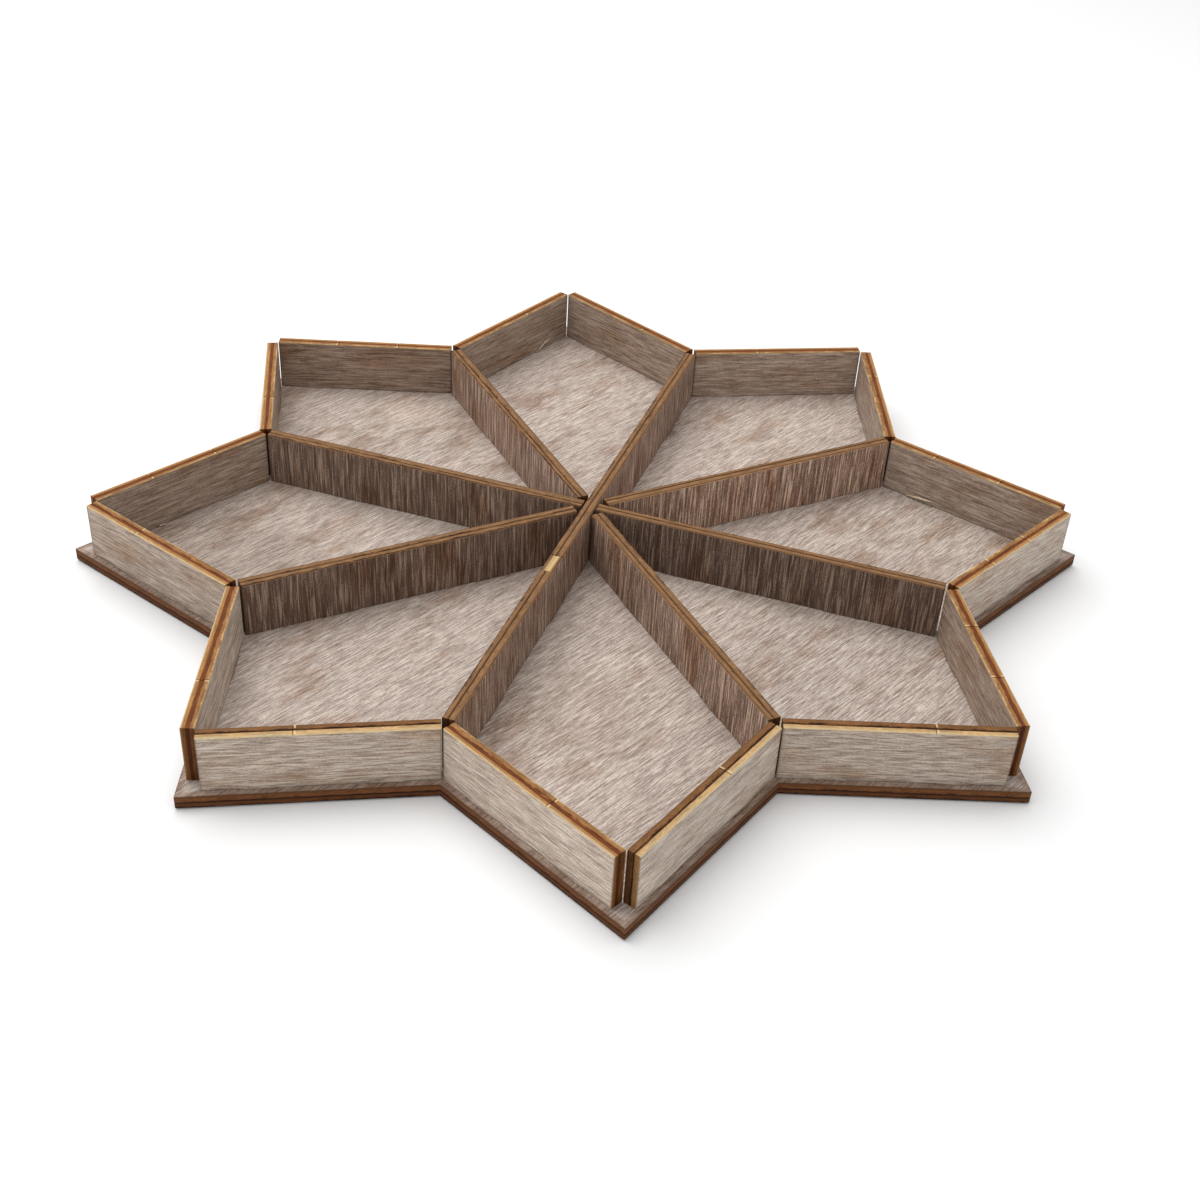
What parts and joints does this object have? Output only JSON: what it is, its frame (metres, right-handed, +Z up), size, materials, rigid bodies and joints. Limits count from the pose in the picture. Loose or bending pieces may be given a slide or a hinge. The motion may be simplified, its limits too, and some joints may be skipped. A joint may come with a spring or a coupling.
{
  "type": "star sorting tray",
  "caption": "Flat star-shaped plywood tray whose radial dividers make kite-shaped compartments for sorting small loose pieces, built with tabs and slots.",
  "frame": {"origin": "centre of the underside of the base plate", "axes": "+Z up through the open top; one point of the star faces -Y, and the through divider runs from the valley at 67.5 degrees to the one opposite"},
  "size_m": [0.25, 0.25, 0.017],
  "materials": {
    "floor_ply": "matt grey-washed plywood with laser-browned edges",
    "wall_ply": "matt grey-washed plywood, grain along the wall, laser-browned edges",
    "divider_ply": "matt grey-washed plywood, grain upright, laser-browned edges"
  },
  "bodies": {
    "root": {"base_plate": "floor_ply", "through_divider": "divider_ply", "half_divider_1": "divider_ply", "half_divider_2": "divider_ply", "half_divider_3": "divider_ply", "half_divider_4": "divider_ply", "half_divider_5": "divider_ply", "half_divider_6": "divider_ply", "point_1_left_wall": "wall_ply", "point_1_right_wall": "wall_ply", "point_2_left_wall": "wall_ply", "point_2_right_wall": "wall_ply", "point_3_left_wall": "wall_ply", "point_3_right_wall": "wall_ply", "point_4_left_wall": "wall_ply", "point_4_right_wall": "wall_ply", "point_5_left_wall": "wall_ply", "point_5_right_wall": "wall_ply", "point_6_left_wall": "wall_ply", "point_6_right_wall": "wall_ply", "point_7_left_wall": "wall_ply", "point_7_right_wall": "wall_ply", "point_8_left_wall": "wall_ply", "point_8_right_wall": "wall_ply"}
  },
  "joints": []
}
